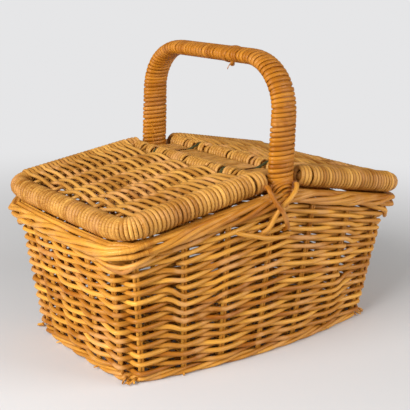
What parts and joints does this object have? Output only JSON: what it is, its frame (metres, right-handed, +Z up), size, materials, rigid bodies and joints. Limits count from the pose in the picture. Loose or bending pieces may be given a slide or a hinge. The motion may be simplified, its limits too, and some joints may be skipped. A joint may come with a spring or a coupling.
{
  "type": "picnic basket",
  "caption": "Woven cane picnic basket with bowed flared sides, a fixed wrapped hoop handle, a centre bridge and two hinged lids that open from the ends",
  "frame": {"origin": "middle of the foot on the ground", "axes": "+X along the length to the right end, -Y to the front, +Z up"},
  "size_m": [0.4321, 0.2854, 0.3321],
  "materials": {
    "cane": "honey-coloured round cane with a worn satin varnish",
    "cane_deep": "deeper orange-brown cane with a satin varnish",
    "cane_pale": "straw-coloured split cane with a thin satin varnish",
    "tie": "dark olive coated tie wire"
  },
  "bodies": {
    "basket": {"foot_border": "cane", "base_weave": "cane_deep", "base_sticks": "cane_pale", "front_weave": "cane", "back_weave": "cane", "left_weave": "cane", "right_weave": "cane", "stakes": "cane_deep", "rim_border": "cane", "handle_core": "cane_deep", "handle_wrap": "cane_deep", "front_lashing": "cane_pale", "back_lashing": "cane_pale", "bridge_core": "cane_pale", "bridge_wrap": "cane_pale", "left_hinge_ties": "tie", "right_hinge_ties": "tie"},
    "left_lid": {"left_lid_hinge_rod": "cane_pale", "left_lid_frame": "cane_pale", "left_lid_sticks": "cane_pale", "left_lid_weave": "cane_pale", "left_lid_front_roll": "cane_pale", "left_lid_back_roll": "cane_pale", "left_lid_end_binding": "cane_deep", "left_lid_hinge_binding": "cane_pale"},
    "right_lid": {"right_lid_hinge_rod": "cane_pale", "right_lid_frame": "cane_pale", "right_lid_sticks": "cane_pale", "right_lid_weave": "cane_pale", "right_lid_front_roll": "cane_pale", "right_lid_back_roll": "cane_pale", "right_lid_end_binding": "cane_deep", "right_lid_hinge_binding": "cane_pale"}
  },
  "joints": [
    {"name": "left_lid_hinge", "type": "hinge", "parent": "basket", "child": "left_lid", "pos_m": [-0.032, 0, 0.198], "axis": [0, 1, 0], "range_deg": [0, 100]},
    {"name": "right_lid_hinge", "type": "hinge", "parent": "basket", "child": "right_lid", "pos_m": [0.032, 0, 0.198], "axis": [0, -1, 0], "range_deg": [0, 100]}
  ]
}
